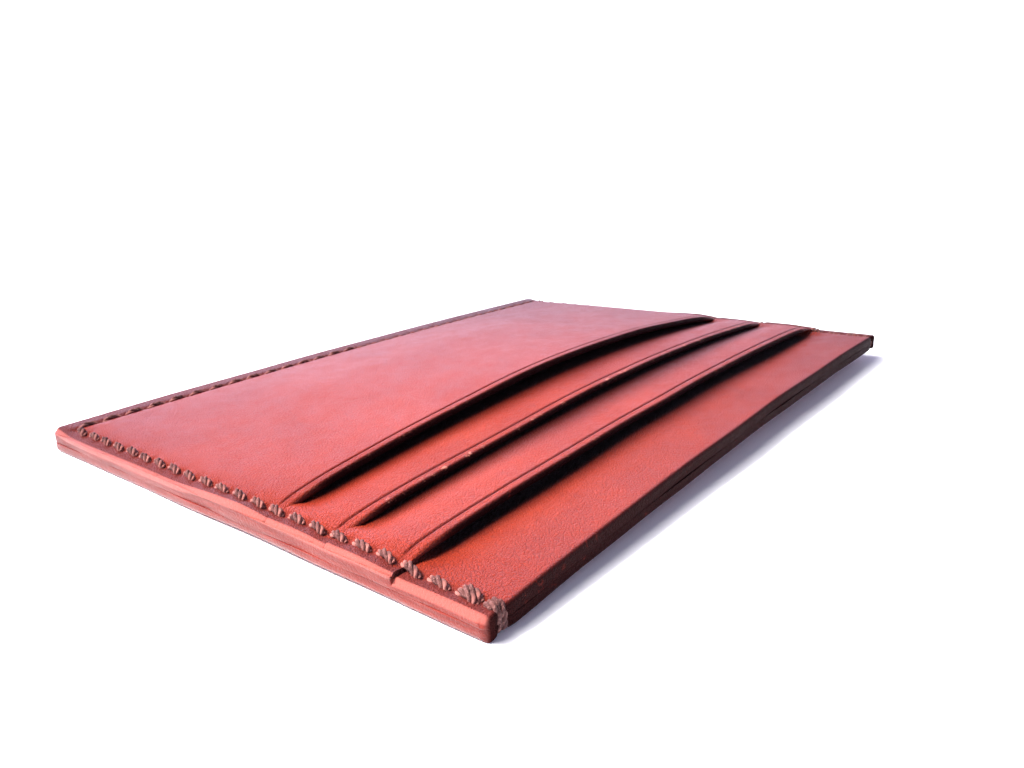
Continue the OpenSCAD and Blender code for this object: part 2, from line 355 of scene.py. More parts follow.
# Distances of the grid lines from an edge, a seam, a stitch hole (close or sparse) and a mouth
EDGE_STEPS = [0, 0.04, 0.1, 0.18, 0.28, 0.4, 0.54, 0.7, 0.88, 1.1, 1.35, 1.6, 1.85, 2.1]
SEAM_STEPS = [-0.9, -0.6, -0.3, 0, 0.3, 0.6, 0.9, 1.4, 2.1, 3.0]
HOLE_STEPS = [-1.0, -0.62, -0.3, 0, 0.3, 0.62, 1.0]
BACK_HOLE_STEPS = [-0.85, -0.38, 0, 0.38, 0.85]
MOUTH_STEPS = [0, 0.03, 0.08, 0.15, 0.24, 0.36, 0.52, 0.72, 0.9, 1.02, 1.13, 1.25, 1.37, 1.48, 1.65, 2.0, 2.6]
# Lines closer than this become one
LINE_GAP = 0.025


def merged(values, low, high):
    """Sorted lines from low to high, with those too close to the last one dropped."""
    kept = [low]
    for v in sorted(values):
        if v - kept[-1] > LINE_GAP and high - v > LINE_GAP:
            kept.append(v)
    return np.array(kept + [high])


def side_lines(extra):
    """Lines across the width: close at both edges and seams, plus the extra ones."""
    near = [HALF_W - s for s in EDGE_STEPS] + [SEAM_X - s for s in SEAM_STEPS]
    return merged(near + [-v for v in near] + list(extra), -HALF_W, HALF_W)


def around(places, steps):
    """All the steps around each of the places."""
    return [p + s for p in places for s in steps]


DENSE_X = side_lines(around(BOTTOM_HOLES[:, 0], HOLE_STEPS))
PLAIN_X = side_lines(np.arange(-TONGUE_HALF, TONGUE_HALF + 0.1, 1.1))
BOTTOM_LINES = EDGE_STEPS + [BOTTOM_INSET + s for s in SEAM_STEPS] + [BOTTOM_INSET - 0.75]
HOLE_LINES = around(RIGHT_HOLES[:, 1], HOLE_STEPS)


def mouth_lines(mouth):
    """Lines near a mouth."""
    return [mouth - s for s in MOUTH_STEPS]


# ---------------------------------------------------------------- sheets of leather


def round_corners(x, y):
    """Moves grid points in the square corners of the holder onto round ones."""
    x, y = x.copy(), y.copy()
    for corner_y, inward in ((0.0, 1), (HEIGHT, -1)):
        side, low = HALF_W - abs(x), (y - corner_y) * inward
        a, b = 1 - side / CORNER, 1 - low / CORNER
        inside = (a > 0) & (b > 0)
        round_a = a * np.sqrt(np.clip(1 - b * b / 2, 0, 1))
        round_b = b * np.sqrt(np.clip(1 - a * a / 2, 0, 1))
        x = np.where(inside, np.sign(x) * (HALF_W - CORNER * (1 - round_a)), x)
        y = np.where(inside, corner_y + inward * CORNER * (1 - round_b), y)
    return x, y


TRIM_WAVE, MOUTH_WAVE = 0.07, 0.06
NOTCH, NOTCH_WIDTH = 0.42, 0.6


def hand_cut(x, y, seed, mouth):
    """Small waves of the trimmed outline, shared by the stack, and of one mouth, and the wrap notches."""
    side = HALF_W - abs(x)
    dx = np.sign(x) * TRIM_WAVE * waves(y, 11 + (x > 0), 17) * (1 - ease(0, 3, side))
    dy = TRIM_WAVE * waves(x, 14, 19) * (1 - ease(0, 3, y))
    dy = dy + MOUTH_WAVE * waves(x, seed, 23) * ease(mouth - 3, mouth, y) * ease(0.5, 6, side)
    notch = NOTCH * bell(abs(x) - SEAM_X, NOTCH_WIDTH) * ease(HEIGHT - 2, HEIGHT, y)
    return x + dx, y + dy - notch


def boundary(keep):
    """Directed grid edges around the kept cells, each as two (row, column) corners."""
    rows, cols = keep.shape
    edges = []
    for j, i in zip(*np.nonzero(keep)):
        if j == 0 or not keep[j - 1, i]:
            edges.append(((j, i), (j, i + 1)))
        if j == rows - 1 or not keep[j + 1, i]:
            edges.append(((j + 1, i + 1), (j + 1, i)))
        if i == 0 or not keep[j, i - 1]:
            edges.append(((j + 1, i), (j, i)))
        if i == cols - 1 or not keep[j, i + 1]:
            edges.append(((j, i + 1), (j + 1, i + 1)))
    return edges


WALL_ROWS = (0.1, 0.3, 0.5, 0.7, 0.9)
WALL_CROWN, WALL_WAVE = 0.025, 0.02
TOP_FACE, LOW_FACE, WALL_FACE = 0, 1, 2


def sheet_mesh(xs, ys, top, low, keep_cell, seed, mouth):
    """Points, faces, and each point's plan place and kind of face, of one closed sheet.

    top and low give z over the plan.
    """
    gx, gy = np.meshgrid(xs, ys)
    centre_x, centre_y = np.meshgrid((xs[1:] + xs[:-1]) / 2, (ys[1:] + ys[:-1]) / 2)
    keep = keep_cell(centre_x, centre_y)
    px, py = round_corners(gx, gy)
    z_top, z_low = top(px, py), low(px, py)
    wx, wy = hand_cut(px, py, seed, mouth)
    corners_used = np.zeros(gx.shape, bool)
    for dj in (0, 1):
        for di in (0, 1):
            corners_used[dj: dj + keep.shape[0], di: di + keep.shape[1]] |= keep
    index = -np.ones(gx.shape, int)
    index[corners_used] = np.arange(corners_used.sum())
    count = corners_used.sum()
    points = [
        np.stack([wx[corners_used], wy[corners_used], z_top[corners_used]], 1),
        np.stack([wx[corners_used], wy[corners_used], z_low[corners_used]], 1),
    ]
    plan = [np.stack([px[corners_used], py[corners_used]], 1)] * 2
    face = [np.full(count, TOP_FACE), np.full(count, LOW_FACE)]
    j, i = np.nonzero(keep)
    quad = np.stack([index[j, i], index[j, i + 1], index[j + 1, i + 1], index[j + 1, i]], 1)
    faces = [quad, quad[:, ::-1] + count]

    edges = boundary(keep)
    outward = {}
    for a, b in edges:
        along = np.array([wx[b] - wx[a], wy[b] - wy[a]])
        normal = np.array([along[1], -along[0]]) / max(np.linalg.norm(along), 1e-9)
        for corner in (a, b):
            outward[corner] = outward.get(corner, 0) + normal
    first = {}
    wall_points, wall_plan = [], []
    for corner, normal in outward.items():
        normal = normal / max(np.linalg.norm(normal), 1e-9)
        first[corner] = 2 * count + len(wall_points)
        x, y, high, bottom = wx[corner], wy[corner], z_top[corner], z_low[corner]
        for share in WALL_ROWS:
            z = high + (bottom - high) * share
            bulge = WALL_CROWN * 4 * share * (1 - share)
            bulge += WALL_WAVE * float(waves(x * 0.9 + y + 2 * z, 5, 5.0)) * min(1.0, high - bottom)
            wall_points.append((x + normal[0] * bulge, y + normal[1] * bulge, z))
            wall_plan.append((px[corner], py[corner]))
    points.append(np.array(wall_points))
    plan.append(np.array(wall_plan))
    face.append(np.full(len(wall_points), WALL_FACE))
    walls = []
    for a, b in edges:
        column_a = [index[a]] + [first[a] + k for k in range(len(WALL_ROWS))] + [index[a] + count]
        column_b = [index[b]] + [first[b] + k for k in range(len(WALL_ROWS))] + [index[b] + count]
        for k in range(len(column_a) - 1):
            walls.append((column_a[k], column_a[k + 1], column_b[k + 1], column_b[k]))
    faces.append(np.array(walls))
    return np.concatenate(points), np.concatenate(faces), np.concatenate(plan), np.concatenate(face)


def new_mesh_object(name, points, faces, material, sharp_angle=None):
    """A smooth-shaded object of these points in mm, with edges sharper than the angle kept sharp."""
    mesh = bpy.data.meshes.new(name)
    mesh.from_pydata(place(points).tolist(), [], [list(map(int, f)) for f in faces])
    mesh.shade_smooth()
    if sharp_angle is not None:
        mesh.set_sharp_from_angle(angle=math.radians(sharp_angle))
    mesh.materials.append(material)
    piece = bpy.data.objects.new(name, mesh)
    bpy.context.scene.collection.objects.link(piece)
    return piece


def mark(piece, name, values):
    """Stores one number per point, which the material reads by this name."""
    attribute = piece.data.attributes.new(name, "FLOAT", "POINT")
    attribute.data.foreach_set("value", np.asarray(values, np.float32))


def add_to_frame(piece, node):
    """The piece stands in for this CAD node."""
    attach(piece, "root")
    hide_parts(node)


# How far the shadow painted under a mouth reaches: at its ends, how much further at its middle, and what
# share of that on the front panel
DARK_REACH, DARK_REACH_MORE, DARK_POWER, DARK_SHARE_PANEL = 1.4, 4.0, 0.8, 0.75
DARK_FROM = 0.1
# Height up to which a sheet lies under the one above it, and past which the painted shadow starts: here none
# of it does
UNCOVERED = -9.0
# Edges sharper than this, in degrees, are shaded as edges
SHARP_ANGLE = 50


def everywhere(x, y):
    """Keeps every cell of a grid."""
    return np.ones(x.shape, bool)


def leather_sheet(node, xs, ys, top, low, mouth, material, seed, covered_to=UNCOVERED, keep=everywhere):
    """Builds one panel and marks what its material needs: rims, margins, mouths and creases."""
    points, faces, plan, face = sheet_mesh(xs, ys, top, low, keep, seed, mouth)
    piece = new_mesh_object(node + "_leather", points, faces, material, SHARP_ANGLE)
    x, y = plan[:, 0], plan[:, 1]
    on_top, on_wall = face == TOP_FACE, face == WALL_FACE
    is_pocket = mouth < HEIGHT - 1
    inset = mouth - y

    rim = np.where(on_wall, 1, 1 - ease(0.36, 0.5, to_outline(x, y)))
    at_edge = (to_outline(x, y) < 0.9) | on_wall
    mark(piece, "rim", rim * at_edge * (inset > 0.05))
    mark(piece, "margin", ease(-0.5, 0.5, to_seam(x, y)) * (face != LOW_FACE))
    mark(piece, "holes", bell(to_hole(x, y), 0.7))

    at_mouth = np.where(on_wall & (inset < 0.2), 1, 1 - ease(0.1, 0.6, inset))
    bare_end = 0.75 * ease(SEAM_X - 7, SEAM_X - 1, abs(x)) * is_pocket
    mark(piece, "mouth", at_mouth * (inset < 1) * (1 - bare_end))
    pocket_top = (1 - ease(SEAM_X - 1.5, SEAM_X - 0.3, abs(x))) * on_top * is_pocket
    mark(piece, "crease", bell(inset - CREASE_AT, 0.19) * pocket_top)
    mark(piece, "lip", bell(inset - 0.4, 0.3) * pocket_top)

    along = np.where(y < HALF_W - abs(x), y - (HALF_W - abs(x)), y)
    mark(piece, "along", np.where(inset < 0.3, mouth + x, along))
    mark(piece, "height", points[:, 2])
    mark(piece, "depth", stack_top(x, y) - points[:, 2])

    # A shadow is painted on the strip just past the mouth that covers this sheet, widest at its middle
    reach = DARK_REACH + DARK_REACH_MORE * np.clip(1 - (x / FREE_HALF) ** 2, 0, 1) ** DARK_POWER
    reach = reach * (1 if is_pocket else DARK_SHARE_PANEL)
    painted_slot_shadow = 1 - ease(covered_to + DARK_FROM, covered_to + DARK_FROM + reach, y)
    mark(piece, "painted_slot_shadow", painted_slot_shadow * (1 - ease(FREE_HALF - 5, FREE_HALF - 0.5, abs(x))) * on_top)
    add_to_frame(piece, node)


# ---------------------------------------------------------------- threads


def normals_along(path):
    """Two normals at each point of a path, turned as little as possible."""
    tangent = np.gradient(path, axis=0)
    tangent /= np.linalg.norm(tangent, axis=1)[:, None]
    first = np.cross(tangent[0], (0, 0, 1.0))
    if np.linalg.norm(first) < 0.1:
        first = np.cross(tangent[0], (1.0, 0, 0))
    normals = [first / np.linalg.norm(first)]
    for t in tangent[1:]:
        n = normals[-1] - t * (normals[-1] @ t)
        normals.append(n / np.linalg.norm(n))
    normal = np.array(normals)
    return normal, np.cross(tangent, normal)


# Plies of a thread, sides of a ply, length of one twist, thickness of the ends, and half the share of
# a stitch around its middle that keeps the thread's own colour; towards its ends a highlight is painted
PLIES, PLY_SIDES, LAY_LENGTH = 3, 7, 2.3
ROPE_END = 0.75
BEAD_HALF = 0.24


def rope(path, radius, phase):
    """Points and faces of a twisted thread along a path, and how near each point is to its middle.

    Its ends are drawn thinner.
    """
    normal, binormal = normals_along(path)
    length = np.concatenate([[0], np.cumsum(np.linalg.norm(np.diff(path, axis=0), axis=1))])
    share = length / length[-1]
    full = ROPE_END + (1 - ROPE_END) * np.clip(np.sin(share * math.pi) * 2.2, 0, 1)
    turn = phase + length * 2 * math.pi / LAY_LENGTH
    points, faces = [], []
    for ply in range(PLIES):
        angle = turn + ply * 2 * math.pi / PLIES
        out = normal * np.cos(angle)[:, None] + binormal * np.sin(angle)[:, None]
        centre = path + out * (radius * 0.5 * full)[:, None]
        start = sum(len(p) for p in points)
        for k in range(PLY_SIDES):
            a = 2 * math.pi * k / PLY_SIDES
            ring = normal * math.cos(a) + binormal * math.sin(a)
            points.append(centre + ring * (radius * 0.52 * full)[:, None])
        n = len(path)
        for k in range(PLY_SIDES):
            low, high = start + k * n, start + (k + 1) % PLY_SIDES * n
            for s in range(n - 1):
                faces.append((low + s, low + s + 1, high + s + 1, high + s))
        faces.append(tuple(start + k * n for k in range(PLY_SIDES)))
        faces.append(tuple(start + k * n + n - 1 for k in reversed(range(PLY_SIDES))))
    return np.concatenate(points), faces, np.tile(bell(share - 0.5, BEAD_HALF), PLIES * PLY_SIDES)


def smooth_path(knots, steps):
    """Catmull-Rom curve through the knots."""
    knots = np.array(knots, float)
    ends = np.concatenate([[2 * knots[0] - knots[1]], knots, [2 * knots[-1] - knots[-2]]])
    out = []
    for p0, p1, p2, p3 in zip(ends, ends[1:], ends[2:], ends[3:]):
        for t in np.arange(steps) / steps:
            out.append(
                0.5 * (2 * p1 + (p2 - p0) * t + (2 * p0 - 5 * p1 + 4 * p2 - p3) * t * t
                       + (3 * p1 - p0 - 3 * p2 + p3) * t ** 3)
            )
    return np.array(out + [knots[-1]])


THREAD_R = 0.4
PATH_STEPS = 4
# A stitch's way from hole to hole: (share of the way, share of its rise or of its sink)
STITCH_ARC = ((0.1, -1), (0.2, -0.6), (0.34, 0.7), (0.5, 1), (0.66, 0.7), (0.8, -0.6), (0.9, -1))


def stitch_path(start, end, z_start, z_end, side, lean, rise, sink, shift=0.0):
    """One stitch from hole to hole. side is 1 on the front face and -1 on the back face."""
    start, end = np.array(start, float), np.array(end, float)
    along = (end - start) / np.linalg.norm(end - start)
    across = np.array([-along[1], along[0]])
    a = start + across * (lean + shift) + along * 0.1
    b = end + across * (shift - lean) - along * 0.1
    knots = []
    for t, share in STITCH_ARC:
        lift = rise * share if share > 0 else sink * share
        plan = a * (1 - t) + b * t
        knots.append((*plan, z_start * (1 - t) + z_end * t + side * lift))
    return smooth_path(knots, PATH_STEPS)


def gather(parts):
    """Joins several (points, faces, marks) into one."""
    points, faces, marks, start = [], [], [], 0
    for p, f, m in parts:
        points.append(p)
        marks.append(m)
        faces += [tuple(v + start for v in one) for one in f]
        start += len(p)
    return np.concatenate(points), faces, np.concatenate(marks)


def sewn_level(x, y):
    """Height of the leather beside a stitch hole of the outer seam."""
    return float(stack_top(np.array(x), np.array(y)))


# How far the two threads lie apart in a doubled stitch and in the wraps over the mouth edge
DOUBLE_APART, WRAP_APART = 0.3, 0.34
# Stitches rise less on the far half of the holder, and dive deeper in the far side's row
DOUBLE_RISE, FAR_RISE = 0.14, -0.38
SINK, FAR_SINK = 0.34, 0.8
BACK_LEVEL, BACK_RISE, BACK_SINK, BACK_RADIUS = 0.52, 0.1, 0.3, THREAD_R * 0.92
# Drop of a wrap's top and of its bend over the edge: on the near side and on the far side
WRAP_DROP_NEAR, WRAP_DROP_FAR = (0.25, 0.2), (0.5, 0.4)


def wrap_knots(x, top, edge):
    """The way of a thread from the last hole over the mouth edge to the back."""
    return [
        (x - 0.1, TOP_HOLE + 0.05, top - 0.75), (x - 0.1, TOP_HOLE + 0.3, top - 0.1),
        (x, TOP_HOLE + 0.9, top + 0.16), (x, edge - 0.45, top + 0.04),
        (x, edge - 0.2, top - 0.42), (x, edge - 0.18, top / 2),
        (x, edge - 0.2, 0.62), (x, edge - 0.45, 0.42),
        (x, TOP_HOLE + 0.8, 0.42), (x, TOP_HOLE + 0.2, 0.5), (x, TOP_HOLE, 0.9),
    ]


def outer_seam_ropes(rng):
    """Front and back stitches of both sides and the bottom, and the wraps at both ends."""
    parts = []
    for row in (LEFT_HOLES, BOTTOM_HOLES, RIGHT_HOLES):
        for p, q in zip(row, row[1:]):
            z_p, z_q = (sewn_level(*hole) for hole in (p, q))
            lean = LEAN * rng.uniform(0.7, 1.3)
            double = max(p[1], q[1]) > TOP_HOLE - 0.1
            sink = FAR_SINK if p[0] + q[0] < -2 * SEAM_X + 0.1 else SINK
            for shift in ((-DOUBLE_APART, DOUBLE_APART) if double else (rng.uniform(-0.05, 0.05),)):
                rise = rng.uniform(0.08, 0.16) + (DOUBLE_RISE * double if p[0] > 0 else FAR_RISE)
                path = stitch_path(p, q, z_p, z_q, 1, lean, rise, sink, shift)
                parts.append(rope(path, THREAD_R * rng.uniform(0.94, 1.08), rng.uniform(0, 6.28)))
            back = stitch_path(p, q, BACK_LEVEL, BACK_LEVEL, -1, -lean, BACK_RISE, BACK_SINK)
            parts.append(rope(back, BACK_RADIUS, rng.uniform(0, 6.28)))
    for side, (top_drop, edge_drop) in ((-1, WRAP_DROP_FAR), (1, WRAP_DROP_NEAR)):
        for shift in (-WRAP_APART, WRAP_APART):
            knots = wrap_knots(side * SEAM_X + shift, FRONT_TOP - top_drop, HEIGHT - edge_drop)
            path = smooth_path(knots, PATH_STEPS)
            points, faces, beads = rope(path, THREAD_R * 0.98, rng.uniform(0, 6.28))
            parts.append((points, faces, np.ones_like(beads)))
    return gather(parts)


TONGUE_RADIUS, TONGUE_LEVEL = THREAD_R * 0.85, 0.42
TONGUE_RISE, TONGUE_SINK, TONGUE_BACK, TONGUE_BACK_RISE = 0.06, 0.1, PANEL + 0.4, 0.05


def tongue_seam_ropes(seam, top, rng):
    """Front and back runs of the seam that closes one tongue."""
    parts = []
    row = hole_row((-TONGUE_SEAM_HALF, seam), (TONGUE_SEAM_HALF, seam), TONGUE_STITCHES)
    for p, q in zip(row, row[1:]):
        z_p, z_q = (float(top(*hole)) - TONGUE_LEVEL for hole in (p, q))
        path = stitch_path(p, q, z_p, z_q, 1, LEAN, TONGUE_RISE, TONGUE_SINK)
        parts.append(rope(path, TONGUE_RADIUS, rng.uniform(0, 6.28)))
        back = stitch_path(p, q, TONGUE_BACK, TONGUE_BACK, -1, -LEAN, TONGUE_BACK_RISE, TONGUE_SINK)
        parts.append(rope(back, TONGUE_RADIUS, rng.uniform(0, 6.28)))
    return gather(parts)


# ---------------------------------------------------------------- materials


# The colour sockets of a Mix node
COLOUR_A, COLOUR_B, COLOUR_OUT = 6, 7, 2


class Nodes:
    """Short names for building a material's node tree."""

    def __init__(self, name):
        self.material = bpy.data.materials.new(name)
        self.material.use_nodes = True
        self.tree = self.material.node_tree
        self.shader = self.tree.nodes["Principled BSDF"]

    def add(self, kind, inputs=(), **settings):
        """A new node, with (socket, value) pairs for its inputs."""
        node = self.tree.nodes.new(kind)
        for key, value in settings.items():
            setattr(node, key, value)
        for key, value in inputs:
            self.put(node.inputs[key], value)
        return node

    def put(self, socket, value):
        """Links an output to the socket, or sets a value that is the same all over."""
        if isinstance(value, bpy.types.NodeSocket):
            self.tree.links.new(value, socket)
        else:
            socket.default_value = value

    def math(self, operation, a, b):
        return self.add("ShaderNodeMath", ((0, a), (1, b)), operation=operation).outputs[0]

    def remap(self, value, low, high, to_low=0.0, to_high=1.0):
        inputs = (
            ("Value", value), ("From Min", low), ("From Max", high), ("To Min", to_low), ("To Max", to_high)
        )
        return self.add("ShaderNodeMapRange", inputs, interpolation_type="SMOOTHSTEP").outputs["Result"]

    def mix(self, share, a, b):
        node = self.add("ShaderNodeMix", data_type="RGBA")
        self.put(node.inputs["Factor"], share)
        for socket, value in ((COLOUR_A, a), (COLOUR_B, b)):
            self.put(node.inputs[socket], (*value, 1) if isinstance(value, tuple) else value)
        return node.outputs[COLOUR_OUT]

    def attribute(self, name):
        return self.add("ShaderNodeAttribute", attribute_name=name).outputs["Fac"]

    def millimetres(self, shift=(0, 0, 0)):
        """The piece's own coordinates, in mm."""
        inputs = (
            ("Vector", self.add("ShaderNodeTexCoord").outputs["Object"]),
            ("Scale", (1 / MM, 1 / MM, 1 / MM)), ("Location", shift),
        )
        return self.add("ShaderNodeMapping", inputs).outputs[0]

    def noise(self, vector, scale, detail=3.0, roughness=0.5, distortion=0.0):
        inputs = (
            ("Vector", vector), ("Scale", scale), ("Detail", detail), ("Roughness", roughness),
            ("Distortion", distortion),
        )
        return self.add("ShaderNodeTexNoise", inputs).outputs[0]

    def bump(self, height, strength, distance, after=None):
        inputs = (("Strength", strength), ("Distance", distance), ("Height", height))
        node = self.add("ShaderNodeBump", inputs)
        if after is not None:
            self.put(node.inputs["Normal"], after)
        return node.outputs[0]


# Colours are linear
LEATHER_DEEP = (0.14, 0.0138, 0.0062)
LEATHER_LIGHT = (0.17, 0.0185, 0.0084)
LEATHER_MARGIN = (0.062, 0.0115, 0.0105)
LEATHER_RIM = (0.14, 0.0185, 0.0125)
LEATHER_RIM_DARK = (0.1, 0.0115, 0.008)
# Painted highlight on the upper band of a rim, where the bevel faces the light
LEATHER_RIM_PAINTED_HIGHLIGHT = (0.225, 0.058, 0.047)
# Mouth faces: the burnished edge's dark brown, darkened further to near black as painted shade
LEATHER_MOUTH_PAINTED_SHADE = (0.015, 0.003, 0.003)
LEATHER_WORN = (0.32, 0.12, 0.09)
# Near-black colour of the shadow painted under each mouth
LEATHER_PAINTED_SLOT_SHADOW = (0.003, 0.0005, 0.0004)
LEATHER_CREASE = (0.022, 0.003, 0.0035)
THREAD_DARK = (0.045, 0.0165, 0.016)
THREAD_LIGHT = (0.085, 0.033, 0.03)
THREAD_PAINTED_HIGHLIGHT = (0.22, 0.078, 0.066)
THREAD_FIBRE = (0.23, 0.11, 0.096)

# Scales of the noises, per mm: the mottled tone, its clouds, the grain's cells and its pits
MOTTLE, CLOUDS, CELLS, PITS = 0.07, 0.35, 2.7, 4.2
# Scales of the streaks on a rim, along it and across it, and of the worn spots
STREAKS_ALONG, STREAKS_ACROSS = 0.16, 2.6
MOUTH_WORN, LIP_WORN = 0.9, 0.8
# How much of its colour each mark gives the leather
MARGIN_SHARE, HOLE_SHARE, PAINTED_SLOT_SHADOW_SHARE, WORN_SHARE, CREASE_SHARE = 0.82, 0.45, 0.97, 0.45, 0.85
# Specular level: plain leather, rims, and the factors on margins and mouth faces
GLOSS, RIM_GLOSS, MARGIN_GLOSS, MOUTH_GLOSS = 0.38, 0.2, 0.65, 0.05
# Heights of the bumps, in metres
GRAIN_HEIGHT, SWELL_HEIGHT, STREAK_HEIGHT, FIBRE_HEIGHT = 0.00023, 0.00016, 0.00015, 0.00008


def leather(name, shift, painted_light=1.0, wear=0.2):
    """Oiled vegetable-tanned leather, its colours scaled by the third argument to paint more or less light on
    this panel, with this much wear along its lip.
    """
    n = Nodes(name)
    deep, light = (tuple(c * painted_light for c in tone) for tone in (LEATHER_DEEP, LEATHER_LIGHT))
    at = n.millimetres(shift)
    mottle = n.noise(at, MOTTLE, 4, 0.55, 0.4)
    cloud = n.noise(at, CLOUDS, 3, 0.6)
    tone = n.math("ADD", n.math("MULTIPLY", mottle, 0.7), n.math("MULTIPLY", cloud, 0.3))
    colour = n.mix(n.remap(tone, 0.34, 0.66), deep, light)

    wander = n.noise(at, 1.1, 2, 0.5)
    bent = n.add("ShaderNodeVectorMath", ((0, at), (1, wander)), operation="ADD").outputs[0]
    cells = n.add("ShaderNodeTexVoronoi", feature="DISTANCE_TO_EDGE")
    n.put(cells.inputs["Vector"], bent)
    n.put(cells.inputs["Scale"], CELLS)
    furrow = n.remap(cells.outputs["Distance"], 0.0, 0.16)
    fine = n.noise(at, PITS, 3, 0.6)
    colour = n.mix(n.remap(furrow, 0, 1, 0.1, 0.0), colour, LEATHER_CREASE)
    colour = n.mix(n.remap(fine, 0.36, 0.56, 0.24, 0.0), colour, LEATHER_CREASE)

    margin = n.attribute("margin")
    colour = n.mix(n.math("MULTIPLY", margin, MARGIN_SHARE), colour, LEATHER_MARGIN)
    colour = n.mix(n.math("MULTIPLY", n.attribute("holes"), HOLE_SHARE), colour, LEATHER_MARGIN)

    streak_along = n.math("MULTIPLY", n.attribute("along"), STREAKS_ALONG)
    streak_across = n.math("MULTIPLY", n.attribute("height"), STREAKS_ACROSS)
    streak_at = n.add("ShaderNodeCombineXYZ", ((0, streak_along), (1, streak_across))).outputs[0]
    streaks = n.noise(streak_at, 1.0, 4, 0.6)
    rim = n.attribute("rim")
    rim_colour = n.mix(n.remap(streaks, 0.35, 0.65), LEATHER_RIM_DARK, LEATHER_RIM)
    # The rim's upper band is painted lighter, as a painted highlight where it faces the light
    rim_colour = n.mix(n.remap(n.attribute("depth"), 0.5, 0.75, 0.85, 0), rim_colour, LEATHER_RIM_PAINTED_HIGHLIGHT)
    colour = n.mix(rim, colour, rim_colour)

    # Painted shadow on the strip under the mouth of the sheet above
    colour = n.mix(n.math("MULTIPLY", n.attribute("painted_slot_shadow"), PAINTED_SLOT_SHADOW_SHARE), colour, LEATHER_PAINTED_SLOT_SHADOW)
    # Mouth faces: burnished dark brown darkened as painted shade, with worn patches of the rim's colour
    mouth = n.attribute("mouth")
    worn = n.math("MULTIPLY", n.remap(n.noise(at, MOUTH_WORN, 5, 0.75), 0.6, 0.7), WORN_SHARE)
    mouth_colour = n.mix(n.math("MULTIPLY", worn, mouth), LEATHER_MOUTH_PAINTED_SHADE, LEATHER_RIM)
    colour = n.mix(mouth, colour, mouth_colour)
    scuffs = n.remap(n.noise(at, LIP_WORN, 5, 0.75), 0.56, 0.66)
    scuffed = n.math("MULTIPLY", n.math("MULTIPLY", scuffs, n.attribute("lip")), wear)
    colour = n.mix(scuffed, colour, LEATHER_WORN)
    colour = n.mix(n.math("MULTIPLY", n.attribute("crease"), CREASE_SHARE), colour, LEATHER_CREASE)
    n.put(n.shader.inputs["Base Color"], colour)

    rough = n.math("ADD", n.remap(cloud, 0.3, 0.7, 0.43, 0.49), n.math("MULTIPLY", fine, 0.06))
    rough = n.math("SUBTRACT", rough, n.math("MULTIPLY", rim, 0.12))
    n.put(n.shader.inputs["Roughness"], rough)
    gloss = n.remap(rim, 0, 1, GLOSS, RIM_GLOSS)
    gloss = n.math("MULTIPLY", gloss, n.remap(margin, 0, 1, 1, MARGIN_GLOSS))
    gloss = n.math("MULTIPLY", gloss, n.remap(mouth, 0, 1, 1, MOUTH_GLOSS))
    n.put(n.shader.inputs["Specular IOR Level"], gloss)

    grain = n.math("ADD", n.math("MULTIPLY", furrow, 0.24), n.math("MULTIPLY", fine, 0.8))
    smooth_rim = n.math("SUBTRACT", 1.0, n.math("MULTIPLY", rim, 0.7))
    surface = n.bump(n.math("MULTIPLY", grain, smooth_rim), 1.0, GRAIN_HEIGHT)
    surface = n.bump(n.noise(at, 0.5, 3, 0.5), 0.07, SWELL_HEIGHT, surface)
    surface = n.bump(n.math("MULTIPLY", streaks, rim), 0.35, STREAK_HEIGHT, surface)
    n.put(n.shader.inputs["Normal"], surface)
    return n.material


def thread_material():
    """Waxed brown thread, with a highlight painted towards both ends of each stitch, and pale fibres."""
    n = Nodes("waxed_thread")
    at = n.millimetres()
    fibres = n.noise(at, 7, 4, 0.7, 0.6)
    tone = n.noise(at, 0.8, 2, 0.5)
    colour = n.mix(n.remap(tone, 0.35, 0.65), THREAD_DARK, THREAD_LIGHT)
    # A highlight is painted towards both ends of each stitch; its middle and the wraps keep the thread's
    # colour
    colour = n.mix(n.remap(n.attribute("bead"), 0.2, 0.75, 0.85, 0), colour, THREAD_PAINTED_HIGHLIGHT)
    colour = n.mix(n.remap(fibres, 0.5, 0.72), colour, THREAD_FIBRE)
    n.put(n.shader.inputs["Base Color"], colour)
    n.put(n.shader.inputs["Roughness"], n.remap(fibres, 0.3, 0.7, 0.55, 0.75))
    n.shader.inputs["Specular IOR Level"].default_value = 0.2
    n.put(n.shader.inputs["Normal"], n.bump(fibres, 0.6, FIBRE_HEIGHT))
    return n.material


# ---------------------------------------------------------------- the pieces


# The back stitches lie in a groove, and both sides' lower rims are a little worn around one height
BACK_GROOVE, BACK_GROOVE_WIDTH = 0.34, 0.6
BACK_WORN, BACK_WORN_Y, BACK_WORN_WIDTH = 0.2, 45, 14
# The front panel is pressed down around the highest mouth, and its far corners are rounded
PANEL_PRESSED, PRESSED_ABOVE, PRESSED_BELOW = 0.4, 6, 3
CORNER_EDGE = (0.34, 0.34)
# The foot of a tongue tapers to this, and the end of an ear is rounded
THINNEST, EAR_EDGE, EAR_THICKENS = 0.1, (0.12, 0.1), 5.5
# The front pocket's face is slightly uneven
SOFT_WAVE = 0.05


